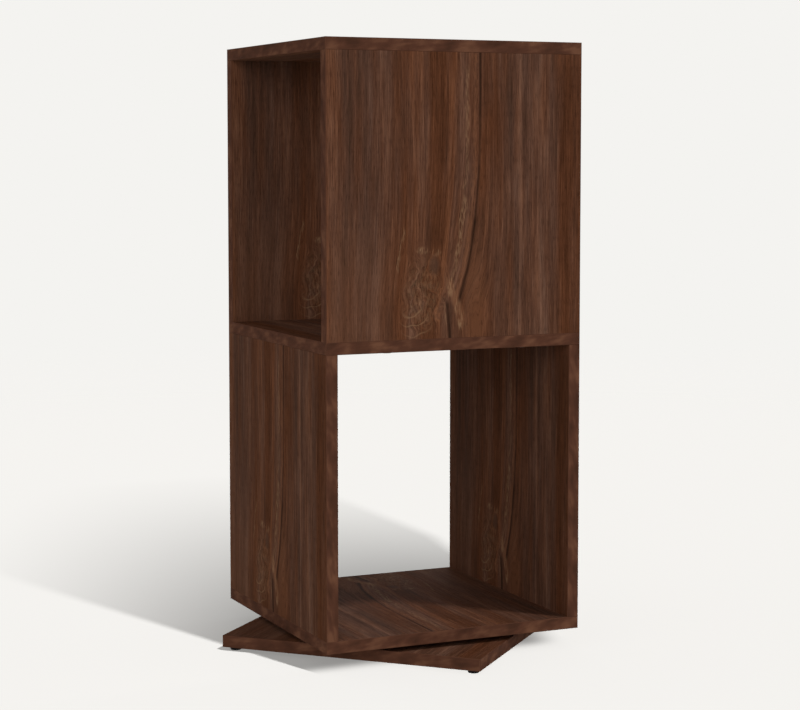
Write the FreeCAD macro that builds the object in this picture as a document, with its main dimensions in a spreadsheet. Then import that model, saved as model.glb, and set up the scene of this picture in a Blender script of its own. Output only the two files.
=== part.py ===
"""A revolving bookcase: two open compartments, one above the other and crossed, that turn as one cabinet
on a ball swivel over a square base plate.

Millimetres, +Z up, front towards -Y. The origin is on the floor, on the axis that the cabinet turns about.
"""
import FreeCAD, Part
import math
import os
from types import SimpleNamespace

import Sketcher
from FreeCAD import Placement, Rotation, Vector

# Driving sizes, in millimetres unless the words beside them say otherwise.
SIZES = {
    # cabinet boards
    "case_width": (340.0, "cabinet from left to right"),
    "case_depth": (340.0, "cabinet from front to back"),
    "board": (15.0, "thickness of a cabinet board"),
    "upper_bay": (342.0, "clear height of the upper compartment"),
    "lower_bay": (342.0, "clear height of the lower compartment"),
    "edging": (1.0, "thickness of the strip glued on a board's edge"),
    "arris": (0.6, "radius that eases the strip's outer edges"),
    # base plate and its feet
    "base_side": (340.0, "side of the square base plate"),
    "base_board": (15.0, "thickness of the base plate"),
    "rest_angle": (44.5, "turn of the base plate under the cabinet at rest, in degrees"),
    "foot_height": (4.5, "foot from the floor to the base plate"),
    "foot_top": (16.0, "diameter of a foot at the base plate"),
    "foot_tread": (13.0, "diameter of a foot at the floor"),
    "foot_round": (0.8, "radius round the foot's lower edge"),
    "foot_inset": (12.5, "foot's centre to both edges of the base plate"),
    "foot_peg": (6.0, "diameter of the peg on a foot"),
    "foot_peg_length": (9.0, "length of the peg on a foot"),
    # swivel
    "swivel_height": (6.5, "gap between base plate and cabinet, filled by the swivel"),
    "plate_side": (150.0, "side of a swivel plate"),
    "plate_corner": (12.0, "corner radius of a swivel plate"),
    "plate_gauge": (1.5, "steel thickness of a swivel plate"),
    "plate_hole": (4.0, "screw hole in a swivel plate"),
    "plate_hole_inset": (9.0, "screw hole's centre to both edges of the plate"),
    "race_inset": (18.0, "circle that the balls run on to the plate's edge"),
    "race_depth": (0.5, "depth of the groove for the balls in each plate"),
    "race_gap": (0.05, "running clearance between ball and groove"),
    "ball_count": (24, "number of balls"),
    "cage_band": (9.0, "width of the ring that spaces the balls"),
    "cage_gauge": (1.6, "thickness of the ring that spaces the balls"),
    "cage_gap": (0.15, "clearance between ball and ring"),
    "dish_width": (60.0, "diameter of the raised middle of a swivel plate"),
    "dish_slope": (3.0, "width of the sloping rim of the raised middle"),
    "dish_gap": (1.1, "gap between the raised middles of the two plates"),
    "rivet_width": (16.0, "outer diameter of the hollow pivot rivet"),
    "rivet_wall": (1.2, "wall of the pivot rivet"),
    "rivet_flange": (26.0, "diameter of the rivet's turned-out ends"),
    "flange_recess": (0.2, "rivet's end inside the face of the plate"),
    "pivot_gap": (0.05, "running clearance round the rivet and under its upper end"),
    # screws of the swivel
    "wood_screw": (3.5, "shank diameter of a swivel screw"),
    "wood_screw_length": (12.0, "length of a swivel screw under its head"),
    "wood_screw_tip": (2.5, "length of a swivel screw's point"),
    "pan_width": (7.5, "head diameter of a swivel screw"),
    "pan_flat": (5.2, "diameter of the flat on top of the head"),
    "pan_rim": (0.5, "height of the straight rim of the head"),
    "pan_gap": (0.3, "clearance between the heads of the upper and lower screws as they pass"),
    "cross_length": (4.2, "length of a cross slot in a screw head"),
    "cross_width": (1.0, "width of a cross slot in a screw head"),
    "cross_depth": (0.7, "depth of a cross slot in a screw head"),
    "driver_hole": (14.0, "hole in the base plate for reaching the upper screws"),
    # fasteners of the boards
    "screw_inset": (80.0, "board screws from the ends of a joint"),
    "dowel_inset": (40.0, "outer dowels from the ends of a joint"),
    "inner_dowel_inset": (125.0, "inner dowels of a glued joint from its ends"),
    "fit_gap": (0.05, "clearance all round a peg, dowel or screw in its hole"),
    "hole_spare": (0.5, "spare depth at the bottom of a blind hole"),
    "dowel": (8.0, "dowel diameter"),
    "dowel_length": (30.0, "dowel length"),
    "dowel_cover": (4.5, "wood left over a dowel hole in a level board"),
    "dowel_bevel": (1.0, "bevel on a dowel's ends"),
    "board_screw": (7.0, "shank diameter of a board screw"),
    "board_screw_core": (5.0, "diameter of a board screw in an upright"),
    "board_screw_length": (48.0, "length of a board screw"),
    "board_screw_tip": (4.0, "length of a board screw's point"),
    "board_screw_point": (2.0, "diameter of a board screw's blunt point"),
    "board_screw_head": (10.0, "diameter of a board screw's sunk head"),
    "socket_width": (4.0, "hexagon socket in a board screw, across its flats"),
    "socket_depth": (3.0, "depth of the hexagon socket"),
    "cap_width": (13.0, "diameter of the cap over a board screw"),
    "cap_height": (0.5, "height of a cap on the board"),
    "cap_round": (0.3, "radius round the outer edge of a cap"),
    "cap_gap": (0.2, "clearance between a cap's peg and the socket"),
}

doc = FreeCAD.newDocument("revolving_bookcase")
sheet = doc.addObject("Spreadsheet::Sheet", "Sizes")
for row, (alias, (number, meaning)) in enumerate(SIZES.items(), 1):
    sheet.set(f"A{row}", str(number))
    sheet.set(f"B{row}", meaning)
    sheet.setAlias(f"A{row}", alias)
doc.recompute()


class Size:
    """A length that carries its formula in the sheet's names along with its present value."""

    def __init__(self, formula, number):
        self.formula = formula
        self.number = number

    def joined(self, sign, other, number):
        return Size(f"({self.formula} {sign} {as_size(other).formula})", number)

    def __add__(self, other):
        return self.joined("+", other, self.number + as_size(other).number)

    def __sub__(self, other):
        return self.joined("-", other, self.number - as_size(other).number)

    def __mul__(self, other):
        return self.joined("*", other, self.number * as_size(other).number)

    def __truediv__(self, other):
        return self.joined("/", other, self.number / as_size(other).number)

    def __neg__(self):
        return self * -1


def as_size(length):
    """A plain number as a Size, and a Size as it is."""
    if isinstance(length, Size):
        return length
    return Size(repr(float(length)), float(length))


def least(one, other):
    """The smaller of two sizes."""
    return Size(f"min({one.formula}; {other.formula})", min(one.number, other.number))


size = SimpleNamespace(**{alias: Size(f"Sizes.{alias}", float(sheet.get(alias))) for alias in SIZES})

# Levels and centre lines that several pieces share.
base_under = size.foot_height
base_top = base_under + size.base_board
case_under = base_top + size.swivel_height
floor_top = case_under + size.board
shelf_under = floor_top + size.lower_bay
shelf_top = shelf_under + size.board
top_under = shelf_top + size.upper_bay
half_board = size.board / 2
front_line = size.case_depth / 2 - half_board
side_line = size.case_width / 2 - half_board

# Places along a joint, from its middle: upper joints run across the cabinet, lower ones from front to back.
upper_screw = size.case_width / 2 - size.screw_inset
upper_dowel = size.case_width / 2 - size.dowel_inset
upper_inner_dowel = size.case_width / 2 - size.inner_dowel_inset
lower_screw = size.case_depth / 2 - size.screw_inset
lower_dowel = size.case_depth / 2 - size.dowel_inset
lower_inner_dowel = size.case_depth / 2 - size.inner_dowel_inset

# Length of a dowel in a level board, and in an upright.
dowel_shallow = size.board - size.dowel_cover - size.hole_spare
dowel_deep = size.dowel_length - dowel_shallow

# Swivel sizes that follow from the gap it fills.
plate_hole_offset = size.plate_side / 2 - size.plate_hole_inset
race_radius = size.plate_side / 2 - size.race_inset
ball_width = size.swivel_height - (size.plate_gauge - size.race_depth + size.race_gap) * 2
dish_rise = (size.swivel_height - size.dish_gap) / 2 - size.plate_gauge
pan_height = (size.swivel_height - size.pan_gap) / 2 - size.plate_gauge

# Turned over about the X axis, for what points down.
turned_over = Rotation(Vector(1, 0, 0), 180)

subparts = []


# Sketches and features

def plane_of(body, role):
    """One of the body's own origin planes or axes."""
    return next(feature for feature in body.Origin.OriginFeatures if feature.Role == role)


def new_sketch(body, name, role="XY_Plane", lift=0):
    """An empty sketch on one of the body's planes, moved along that plane's normal by lift."""
    sketch = body.newObject("Sketcher::SketchObject", f"{body.Name}_{name}")
    sketch.AttachmentSupport = [(plane_of(body, role), "")]
    sketch.MapMode = "FlatFace"
    sketch.setExpression("AttachmentOffset.Base.z", as_size(lift).formula)
    return sketch


def hold(sketch, name, length, kind, *references):
    """A named constraint that is bound to a size."""
    length = as_size(length)
    index = sketch.addConstraint(Sketcher.Constraint(kind, *references, length.number))
    sketch.renameConstraint(index, name)
    sketch.setExpression(f"Constraints.{name}", length.formula)


def draw_outline(sketch, corners):
    """A closed outline of straight lines through corners, each an (x, y) pair of sizes."""
    spots = [Vector(as_size(x).number, as_size(y).number, 0) for x, y in corners]
    for line, spot in enumerate(spots):
        sketch.addGeometry(Part.LineSegment(spot, spots[(line + 1) % len(spots)]), False)
    for line, (x, y) in enumerate(corners):
        following = (line + 1) % len(corners)
        sketch.addConstraint(Sketcher.Constraint("Coincident", line, 2, following, 1))
        hold(sketch, f"across_{line}", x, "DistanceX", -1, 1, line, 1)
        hold(sketch, f"along_{line}", y, "DistanceY", -1, 1, line, 1)


def draw_box(sketch, left, right, near_side, far_side):
    """A rectangle between two x and two y places."""
    draw_outline(sketch, [(left, near_side), (right, near_side), (right, far_side), (left, far_side)])


def draw_circles(sketch, spots, diameter):
    """Equal circles centred on spots, each an (x, y) pair of sizes."""
    for x, y in spots:
        middle = Vector(as_size(x).number, as_size(y).number, 0)
        ring = sketch.addGeometry(Part.Circle(middle, Vector(0, 0, 1), diameter.number / 2), False)
        hold(sketch, f"across_{ring}", x, "DistanceX", -1, 1, ring, 3)
        hold(sketch, f"along_{ring}", y, "DistanceY", -1, 1, ring, 3)
        hold(sketch, f"width_{ring}", diameter, "Diameter", ring)


def add_feature(body, kind, name, sketch):
    """A feature that is made from a sketch."""
    doc.recompute()
    feature = body.newObject(f"PartDesign::{kind}", f"{body.Name}_{name}")
    feature.Profile = sketch
    return feature


def must_cut(body, feature, before):
    """Stops the build if a feature took no material away from the body."""
    doc.recompute()
    if body.Shape.Volume >= before:
        raise RuntimeError(f"{feature.Name} cuts nothing")


def pad(body, name, sketch, length, reverse=False):
    """Material raised from a sketch."""
    feature = add_feature(body, "Pad", name, sketch)
    feature.Reversed = reverse
    feature.setExpression("Length", length.formula)
    doc.recompute()


def cut(body, name, sketch, length, up=False):
    """A pocket sunk from a sketch, against the plane's normal or, with up, along it."""
    before = body.Shape.Volume
    feature = add_feature(body, "Pocket", name, sketch)
    feature.Reversed = up
    feature.setExpression("Length", length.formula)
    must_cut(body, feature, before)
    return feature


def turn(body, name, sketch, kind="Revolution"):
    """A profile turned once round the body's upright axis."""
    feature = add_feature(body, kind, name, sketch)
    feature.ReferenceAxis = (plane_of(body, "Z_Axis"), [""])
    feature.Angle = 360
    doc.recompute()
    return feature


def drill(body, name, spots, diameter, depth, lift=0, up=False):
    """Equal round holes, down from a level of the body or, with up, up from it."""
    sketch = new_sketch(body, name, lift=lift)
    draw_circles(sketch, spots, diameter)
    return cut(body, f"{name}_holes", sketch, depth, up)


def ease(body, name, radius, wanted):
    """A fillet on those edges of the body whose middle is wanted."""
    tip = body.Tip
    edges = [
        f"Edge{index}"
        for index, edge in enumerate(tip.Shape.Edges, 1)
        if wanted(edge.BoundBox.Center)
    ]
    fillet = body.newObject("PartDesign::Fillet", f"{body.Name}_{name}")
    fillet.Base = (tip, edges)
    fillet.setExpression("Radius", radius.formula)
    doc.recompute()


def near(place_found, length):
    """True where a coordinate lies at a size."""
    tolerance = 0.01
    return abs(place_found - as_size(length).number) < tolerance


def place(piece, x=0, y=0, z=0, rotation=None):
    """Sets a piece down at bound coordinates, after any rotation."""
    piece.Placement = Placement(Vector(), rotation or Rotation())
    for axis, length in (("x", x), ("y", y), ("z", z)):
        piece.setExpression(f"Placement.Base.{axis}", as_size(length).formula)


def turned(angle):
    """A turn about the upright axis, in degrees."""
    return Rotation(Vector(0, 0, 1), angle)


def turn_with_base(piece):
    """Turns a piece about the upright axis as far as the base plate is turned."""
    piece.setExpression("Placement.Rotation.Angle", size.rest_angle.formula)


def mirror_spots(x, y):
    """The four spots at plus and minus x and y."""
    return [(x * across, y * along) for across in (-1, 1) for along in (-1, 1)]


def new_body(name, listed=True):
    """An empty body, which is a sub-part of its own unless it is only a pattern for copies."""
    body = doc.addObject("PartDesign::Body", name)
    if listed:
        subparts.append(body)
    return body


def copies(name, pattern, seats, rotation=None):
    """A sub-part that is a group of equal pieces: pattern set down at each (x, y, z) seat."""
    links = []
    for index, (x, y, z) in enumerate(seats):
        link = doc.addObject("App::Link", f"{name}_copy_{index}")
        link.LinkedObject = pattern
        link.LinkTransform = False
        place(link, x, y, z, rotation)
        links.append(link)
    group = doc.addObject("Part::Compound", name)
    group.Links = links
    subparts.append(group)
    return group


# Boards and their edge strips

def block(name, left, right, near_side, far_side, height):
    """A body padded up from a rectangle on the ground plane of its own frame."""
    body = new_body(name)
    sketch = new_sketch(body, "outline")
    draw_box(sketch, left, right, near_side, far_side)
    pad(body, "pad", sketch, height)
    return body


def ease_strip(strip, wanted):
    """Eases a strip's outer edges, by no more than most of its thickness."""
    ease(strip, "arris", least(size.arris, size.edging * 0.8), wanted)


def level_board(name, width, depth, thickness, z):
    """A level board with strips on its four edges. Those in front and behind run the full width."""
    x_out = width / 2
    y_out = depth / 2
    x_in = x_out - size.edging
    y_in = y_out - size.edging
    middle = thickness / 2
    board = block(name, -x_in, x_in, -y_in, y_in, thickness)
    front = block(f"{name}_front_edging", -x_out, x_out, -y_out, -y_in, thickness)
    back = block(f"{name}_back_edging", -x_out, x_out, y_in, y_out, thickness)
    left = block(f"{name}_left_edging", -x_out, -x_in, -y_in, y_in, thickness)
    right = block(f"{name}_right_edging", x_in, x_out, -y_in, y_in, thickness)
    ease_strip(front, lambda spot: near(spot.y, -y_out))
    ease_strip(back, lambda spot: near(spot.y, y_out))
    ease_strip(left, lambda spot: near(spot.x, -x_out) and not near(spot.z, middle))
    ease_strip(right, lambda spot: near(spot.x, x_out) and not near(spot.z, middle))
    pieces = (board, front, back, left, right)
    for piece in pieces:
        place(piece, z=z)
    return pieces


def upright_board(name, width, height, x, y, z, angle, sides):
    """An upright with a strip on each side, named for where that side points in the cabinet.

    Its own frame has its width on X and its inner face towards +Y.
    """
    x_out = width / 2
    x_in = x_out - size.edging
    middle = height / 2
    board = block(name, -x_in, x_in, -half_board, half_board, height)
    first = block(f"{name}_{sides[0]}_edging", -x_out, -x_in, -half_board, half_board, height)
    second = block(f"{name}_{sides[1]}_edging", x_in, x_out, -half_board, half_board, height)
    ease_strip(first, lambda spot: near(spot.x, -x_out) and near(spot.z, middle))
    ease_strip(second, lambda spot: near(spot.x, x_out) and near(spot.z, middle))
    for piece in (board, first, second):
        place(piece, x, y, z, turned(angle))
    return board


def drill_dowels(board, name, spots, depth, lift=0, up=False):
    """Dowel holes that leave a little room past the dowel's end."""
    drill(board, name, spots, size.dowel + size.fit_gap * 2, depth + size.hole_spare, lift, up)


def drill_sunk(board, name, spots):
    """Through holes for board screws, with seats for the sunk heads on the board's underside."""
    shank_hole = size.board_screw + size.fit_gap * 2
    sketch = new_sketch(board, name)
    draw_circles(sketch, spots, shank_hole)
    before = board.Shape.Volume
    hole = add_feature(board, "Hole", f"{name}_holes", sketch)
    doc.recompute()
    hole.Threaded = False
    hole.DepthType = "Dimension"
    hole.DrillPoint = "Flat"
    hole.HoleCutType = "Countersink"
    hole.HoleCutCountersinkAngle = 90
    hole.Reversed = True
    hole.setExpression("Depth", size.board.formula)
    hole.setExpression("Diameter", shank_hole.formula)
    hole.setExpression("HoleCutDiameter", (size.board_screw_head + size.fit_gap * 2).formula)
    must_cut(board, hole, before)


def drill_ends(board, height, screw, dowel, inner_dowel):
    """Holes in the ends of an upright: screws and dowels below, glued dowels above."""
    screw_depth = size.board_screw_length - size.board + size.hole_spare
    screw_hole = size.board_screw_core + size.fit_gap * 2
    outer_spots = [(-dowel, 0), (dowel, 0)]
    inner_spots = [(-inner_dowel, 0), (inner_dowel, 0)]
    drill(board, "screw", [(-screw, 0), (screw, 0)], screw_hole, screw_depth, up=True)
    drill_dowels(board, "low_dowel", outer_spots, dowel_deep, up=True)
    drill_dowels(board, "high_dowel", outer_spots + inner_spots, dowel_deep, lift=height)


def drill_swivel_pilots(board, lift=0, up=False):
    """Blind holes for the four screws of a swivel plate."""
    spots = mirror_spots(plate_hole_offset, plate_hole_offset)
    depth = size.wood_screw_length - size.plate_gauge + size.hole_spare
    drill(board, "pilot", spots, size.wood_screw + size.fit_gap * 2, depth, lift, up)


def glued_upper_spots():
    """Dowels between the top board and the upper panels."""
    return mirror_spots(upper_dowel, front_line) + mirror_spots(upper_inner_dowel, front_line)


def glued_lower_spots():
    """Dowels between the shelf and the lower panels."""
    return mirror_spots(side_line, lower_dowel) + mirror_spots(side_line, lower_inner_dowel)


def make_level_boards():
    """Top board, shelf and bottom board. Each runs over or under the uprights to the full square."""
    top, *_ = level_board("top_panel", size.case_width, size.case_depth, size.board, top_under)
    drill_dowels(top, "dowel", glued_upper_spots(), dowel_shallow, up=True)

    shelf, *_ = level_board("middle_shelf", size.case_width, size.case_depth, size.board, shelf_under)
    drill_sunk(shelf, "screw", mirror_spots(upper_screw, front_line))
    drill_dowels(shelf, "upper_dowel", mirror_spots(upper_dowel, front_line), dowel_shallow, lift=size.board)
    drill_dowels(shelf, "lower_dowel", glued_lower_spots(), dowel_shallow, up=True)

    bottom, *_ = level_board("bottom_panel", size.case_width, size.case_depth, size.board, case_under)
    drill_sunk(bottom, "screw", mirror_spots(side_line, lower_screw))
    drill_dowels(bottom, "dowel", mirror_spots(side_line, lower_dowel), dowel_shallow, lift=size.board)
    drill_swivel_pilots(bottom, up=True)


def make_uprights():
    """Front and back panels above, which leave the sides open, and side panels below, which leave both ends."""
    for name, y, angle, sides in (
        ("upper_front_panel", -front_line, 0, ("left", "right")),
        ("upper_back_panel", front_line, 180, ("right", "left")),
    ):
        board = upright_board(name, size.case_width, size.upper_bay, 0, y, shelf_top, angle, sides)
        drill_ends(board, size.upper_bay, upper_screw, upper_dowel, upper_inner_dowel)
    for name, x, angle, sides in (
        ("lower_left_panel", -side_line, -90, ("back", "front")),
        ("lower_right_panel", side_line, 90, ("front", "back")),
    ):
        board = upright_board(name, size.case_depth, size.lower_bay, x, 0, floor_top, angle, sides)
        drill_ends(board, size.lower_bay, lower_screw, lower_dowel, lower_inner_dowel)


def make_base():
    """The base plate, turned under the cabinet, and its four feet."""
    foot_offset = size.base_side / 2 - size.foot_inset
    foot_spots = mirror_spots(foot_offset, foot_offset)
    pieces = level_board("base_plate", size.base_side, size.base_side, size.base_board, base_under)
    for piece in pieces:
        turn_with_base(piece)
    plate = pieces[0]
    drill_swivel_pilots(plate, lift=size.base_board)
    driver_spot = (plate_hole_offset * math.sqrt(2), 0)
    drill(plate, "driver", [driver_spot], size.driver_hole, size.base_board, up=True)
    peg_hole = size.foot_peg + size.fit_gap * 2
    drill(plate, "foot", foot_spots, peg_hole, size.foot_peg_length + size.hole_spare, up=True)
    for name, (x, y) in zip(("foot_front", "foot_left", "foot_right", "foot_back"), foot_spots):
        make_foot(name, x, y)


def make_foot(name, x, y):
    """A tapered glide foot with a peg, at a spot of the base plate's own frame."""
    body = new_body(name)
    sketch = new_sketch(body, "profile", "XZ_Plane")
    peg = size.foot_peg / 2
    peg_top = size.foot_height + size.foot_peg_length
    draw_outline(sketch, [
        (0, 0),
        (size.foot_tread / 2, 0),
        (size.foot_top / 2, size.foot_height),
        (peg, size.foot_height),
        (peg, peg_top),
        (0, peg_top),
    ])
    turn(body, "turned", sketch)
    ease(body, "tread", least(size.foot_round, size.foot_height * 0.5), lambda spot: near(spot.z, 0))
    angle = f"{size.rest_angle.formula} * 1 deg"
    place(body)
    body.setExpression("Placement.Base.x", f"{x.formula} * cos({angle}) - {y.formula} * sin({angle})")
    body.setExpression("Placement.Base.y", f"{x.formula} * sin({angle}) + {y.formula} * cos({angle})")


# Swivel

def make_swivel_plate(name):
    """A pressed steel plate with a raised middle, a groove for the balls and four screw holes.

    Its own frame has the side that lies on the board at zero height.
    """
    body = new_body(name)
    sketch = new_sketch(body, "outline")
    half_side = size.plate_side / 2
    draw_box(sketch, -half_side, half_side, -half_side, half_side)
    pad(body, "pad", sketch, size.plate_gauge)
    ease(body, "corners", size.plate_corner, lambda spot: near(spot.z, size.plate_gauge / 2))

    drill(body, "middle", [(0, 0)], size.dish_width, size.plate_gauge, up=True)
    sketch = new_sketch(body, "dish", "XZ_Plane")
    rim = size.dish_width / 2
    hole = size.rivet_width / 2 + size.pivot_gap
    draw_outline(sketch, [
        (rim, 0),
        (rim, size.plate_gauge),
        (rim - size.dish_slope, size.plate_gauge + dish_rise),
        (hole, size.plate_gauge + dish_rise),
        (hole, dish_rise),
        (rim - size.dish_slope, dish_rise),
    ])
    turn(body, "dish_turned", sketch)

    before = body.Shape.Volume
    sketch = new_sketch(body, "race", "XZ_Plane")
    draw_circles(sketch, [(race_radius, size.swivel_height / 2)], ball_width + size.race_gap * 2)
    groove = turn(body, "race_groove", sketch, "Groove")
    must_cut(body, groove, before)

    spots = mirror_spots(plate_hole_offset, plate_hole_offset)
    drill(body, "screw", spots, size.plate_hole, size.plate_gauge, up=True)
    return body


def make_ball_ring():
    """The balls and the flat ring that keeps them apart."""
    level = base_top + size.swivel_height / 2
    cage = new_body("ball_cage")
    sketch = new_sketch(cage, "band")
    draw_circles(sketch, [(0, 0)], race_radius * 2 - size.cage_band)
    draw_circles(sketch, [(0, 0)], race_radius * 2 + size.cage_band)
    pad(cage, "pad", sketch, size.cage_gauge)
    pocket = drill(cage, "ball", [(race_radius, 0)], ball_width + size.cage_gap * 2, size.cage_gauge, up=True)
    ring = cage.newObject("PartDesign::PolarPattern", "ball_cage_ring")
    ring.Originals = [pocket]
    ring.Axis = (plane_of(cage, "Z_Axis"), [""])
    ring.Angle = 360
    ring.setExpression("Occurrences", size.ball_count.formula)
    cage.Tip = ring
    place(cage, z=level - size.cage_gauge / 2)

    ball = doc.addObject("Part::Sphere", "ball_pattern")
    ball.setExpression("Radius", (ball_width / 2).formula)
    count = int(size.ball_count.number)
    angles = [2 * math.pi * index / count for index in range(count)]
    seats = [(race_radius * math.cos(angle), race_radius * math.sin(angle), level) for angle in angles]
    copies("bearing_balls", ball, seats)


def make_rivet():
    """The hollow rivet that the upper plate turns about and that keeps the two plates together."""
    rivet = new_body("pivot_rivet")
    sketch = new_sketch(rivet, "profile", "XZ_Plane")
    tube = size.rivet_width / 2
    bore = tube - size.rivet_wall
    flange = size.rivet_flange / 2
    high_seat = size.swivel_height - dish_rise + size.pivot_gap
    high_end = size.swivel_height - size.flange_recess
    draw_outline(sketch, [
        (bore, size.flange_recess),
        (flange, size.flange_recess),
        (flange, dish_rise),
        (tube, dish_rise),
        (tube, high_seat),
        (flange, high_seat),
        (flange, high_end),
        (bore, high_end),
    ])
    turn(rivet, "turned", sketch)
    place(rivet, z=base_top)


def make_swivel_screws():
    """Pan-head screws, four through each swivel plate. Those of the lower plate turn with the base."""
    screw = new_body("wood_screw_pattern", listed=False)
    sketch = new_sketch(screw, "profile", "XZ_Plane")
    shank = size.wood_screw / 2
    draw_outline(sketch, [
        (0, -size.wood_screw_length),
        (shank, size.wood_screw_tip - size.wood_screw_length),
        (shank, 0),
        (size.pan_width / 2, 0),
        (size.pan_width / 2, size.pan_rim),
        (size.pan_flat / 2, pan_height),
        (0, pan_height),
    ])
    turn(screw, "turned", sketch)
    half_length = size.cross_length / 2
    half_width = size.cross_width / 2
    for name, across, along in (("slot", half_length, half_width), ("cross_slot", half_width, half_length)):
        sketch = new_sketch(screw, name, lift=pan_height)
        draw_box(sketch, -across, across, -along, along)
        cut(screw, f"{name}_cut", sketch, size.cross_depth)

    spots = mirror_spots(plate_hole_offset, plate_hole_offset)
    upper_seats = [(x, y, case_under - size.plate_gauge) for x, y in spots]
    lower_seats = [(x, y, base_top + size.plate_gauge) for x, y in spots]
    copies("cabinet_swivel_screws", screw, upper_seats, turned_over)
    turn_with_base(copies("base_swivel_screws", screw, lower_seats))


def make_swivel():
    """The ball swivel between base plate and cabinet."""
    lower_plate = make_swivel_plate("swivel_lower_plate")
    place(lower_plate, z=base_top)
    turn_with_base(lower_plate)
    upper_plate = make_swivel_plate("swivel_upper_plate")
    place(upper_plate, z=case_under, rotation=turned_over)
    make_ball_ring()
    make_rivet()
    make_swivel_screws()


# Fasteners of the boards

def make_board_screws():
    """Long screws up through the shelf and the bottom board, and caps on the heads under the shelf."""
    screw = new_body("board_screw_pattern", listed=False)
    sketch = new_sketch(screw, "profile", "XZ_Plane")
    head = size.board_screw_head / 2
    shank = size.board_screw / 2
    core = size.board_screw_core / 2
    draw_outline(sketch, [
        (0, -size.board_screw_length),
        (size.board_screw_point / 2, -size.board_screw_length),
        (core, size.board_screw_tip - size.board_screw_length),
        (core, -size.board),
        (shank, -size.board),
        (shank, shank - head),
        (head, 0),
        (0, 0),
    ])
    turn(screw, "turned", sketch)
    sketch = new_sketch(screw, "socket")
    corner = size.socket_width / math.sqrt(3)
    angles = [math.pi / 3 * index for index in range(6)]
    draw_outline(sketch, [(corner * math.cos(angle), corner * math.sin(angle)) for angle in angles])
    cut(screw, "socket_cut", sketch, size.socket_depth)

    cap = new_body("screw_cap_pattern", listed=False)
    sketch = new_sketch(cap, "disc")
    draw_circles(sketch, [(0, 0)], size.cap_width)
    pad(cap, "pad", sketch, size.cap_height)
    ease(cap, "rim", least(size.cap_round, size.cap_height * 0.8), lambda spot: near(spot.z, size.cap_height))
    sketch = new_sketch(cap, "peg")
    draw_circles(sketch, [(0, 0)], size.socket_width - size.cap_gap * 2)
    pad(cap, "peg_pad", sketch, size.socket_depth - size.hole_spare, reverse=True)

    shelf_seats = [(x, y, shelf_under) for x, y in mirror_spots(upper_screw, front_line)]
    bottom_seats = [(x, y, case_under) for x, y in mirror_spots(side_line, lower_screw)]
    copies("shelf_screws", screw, shelf_seats, turned_over)
    copies("shelf_screw_caps", cap, shelf_seats, turned_over)
    copies("bottom_screws", screw, bottom_seats, turned_over)


def make_dowels():
    """Wooden dowels in every joint of a level board with an upright."""
    dowel = new_body("dowel_pattern", listed=False)
    sketch = new_sketch(dowel, "profile", "XZ_Plane")
    radius = size.dowel / 2
    draw_outline(sketch, [
        (0, 0),
        (radius - size.dowel_bevel, 0),
        (radius, size.dowel_bevel),
        (radius, size.dowel_length - size.dowel_bevel),
        (radius - size.dowel_bevel, size.dowel_length),
        (0, size.dowel_length),
    ])
    turn(dowel, "turned", sketch)
    for name, spots, level in (
        ("top_dowels", glued_upper_spots(), top_under - dowel_deep),
        ("shelf_upper_dowels", mirror_spots(upper_dowel, front_line), shelf_top - dowel_shallow),
        ("shelf_lower_dowels", glued_lower_spots(), shelf_under - dowel_deep),
        ("bottom_dowels", mirror_spots(side_line, lower_dowel), floor_top - dowel_shallow),
    ):
        copies(name, dowel, [(x, y, level) for x, y in spots])


make_level_boards()
make_uprights()
make_base()
make_swivel()
make_board_screws()
make_dowels()

doc.recompute()
for item in doc.Objects:
    if "Invalid" in item.State or "Error" in item.State:
        raise RuntimeError(f"{item.Name} failed: {item.State}")
for piece in subparts:
    if piece.Shape.isNull() or not piece.Shape.isValid():
        raise RuntimeError(f"{piece.Label} has no sound shape")

os.makedirs("parts", exist_ok=True)
for piece in subparts:
    piece.Shape.exportStep(f"parts/{piece.Label}.step")
    print(piece.Label, len(piece.Shape.Solids), round(piece.Shape.Volume, 1))
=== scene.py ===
"""Looks of the revolving bookcase, laid out as an add-on.

Dark walnut print on the boards, printed edge strips, moulded feet, the steel swivel, its fasteners and a pale
studio stage. Objects are in metres. Patterns are worked out in millimetres.
"""
import math

import bpy
from bpy.props import FloatProperty, FloatVectorProperty, IntProperty, PointerProperty
from mathutils import Matrix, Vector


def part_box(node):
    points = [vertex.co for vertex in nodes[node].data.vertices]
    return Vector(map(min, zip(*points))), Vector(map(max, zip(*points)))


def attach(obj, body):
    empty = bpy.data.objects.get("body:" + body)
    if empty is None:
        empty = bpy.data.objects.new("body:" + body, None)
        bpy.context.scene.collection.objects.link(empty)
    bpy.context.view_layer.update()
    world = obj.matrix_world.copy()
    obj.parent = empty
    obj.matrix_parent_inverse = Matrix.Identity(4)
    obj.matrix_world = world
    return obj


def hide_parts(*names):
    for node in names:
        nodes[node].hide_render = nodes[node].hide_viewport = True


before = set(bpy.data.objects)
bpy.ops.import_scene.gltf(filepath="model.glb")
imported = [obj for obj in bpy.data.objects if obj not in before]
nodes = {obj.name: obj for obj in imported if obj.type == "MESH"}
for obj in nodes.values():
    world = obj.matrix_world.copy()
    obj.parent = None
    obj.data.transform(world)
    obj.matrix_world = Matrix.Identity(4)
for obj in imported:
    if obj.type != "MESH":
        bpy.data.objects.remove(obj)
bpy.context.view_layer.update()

bl_info = {
    "name": "Revolving bookcase",
    "version": (1, 0, 0),
    "blender": (4, 5, 0),
    "location": "3D View > Sidebar > Bookcase",
    "description": "Finishes, fittings and studio stage of a revolving bookcase",
    "category": "Object",
}

MM = 0.001

# How far the base is turned under the cabinet, in degrees.
BASE_ANGLE = 44.5

# Setting of a soft step.
SOFT = {"interpolation_type": "SMOOTHSTEP"}

# Where the dark, the usual and the pale shade stand on a ramp, and the levels between which most noise lies.
RAMP = (0, 0.5, 1)
NOISE_LEVELS = (0.3, 0.7)


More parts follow.
